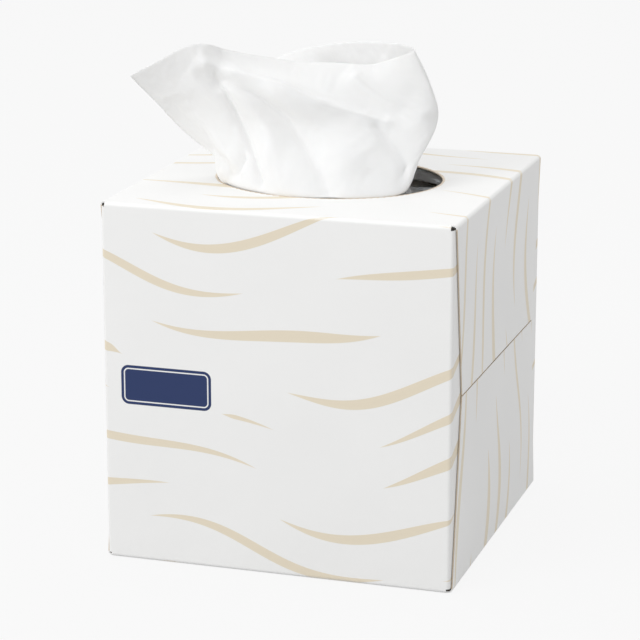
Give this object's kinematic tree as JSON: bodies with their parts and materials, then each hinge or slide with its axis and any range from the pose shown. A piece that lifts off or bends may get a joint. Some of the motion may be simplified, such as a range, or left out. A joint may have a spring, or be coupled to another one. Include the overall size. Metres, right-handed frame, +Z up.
{
  "type": "tissue box",
  "caption": "Cube paperboard tissue carton with an oval top opening, a slit clear film behind it, a pack of folded tissues bent over inside, and a tissue pulled part way out.",
  "frame": {"origin": "centre of the carton's base", "axes": "+Z up, +Y to the back, +X to the right as the front is seen"},
  "size_m": [0.118, 0.118, 0.1663],
  "materials": {
    "board": "smooth white coated board with printed beige strokes, grey-brown and uncoated inside",
    "film": "thin clear film, glossy and slightly wrinkled",
    "tissue": "soft matt white tissue with a fine crepe"
  },
  "bodies": {
    "root": {"carton": "board", "dispensing_film": "film", "tissue_stack": "tissue", "raised_tissue": "tissue"}
  },
  "joints": []
}
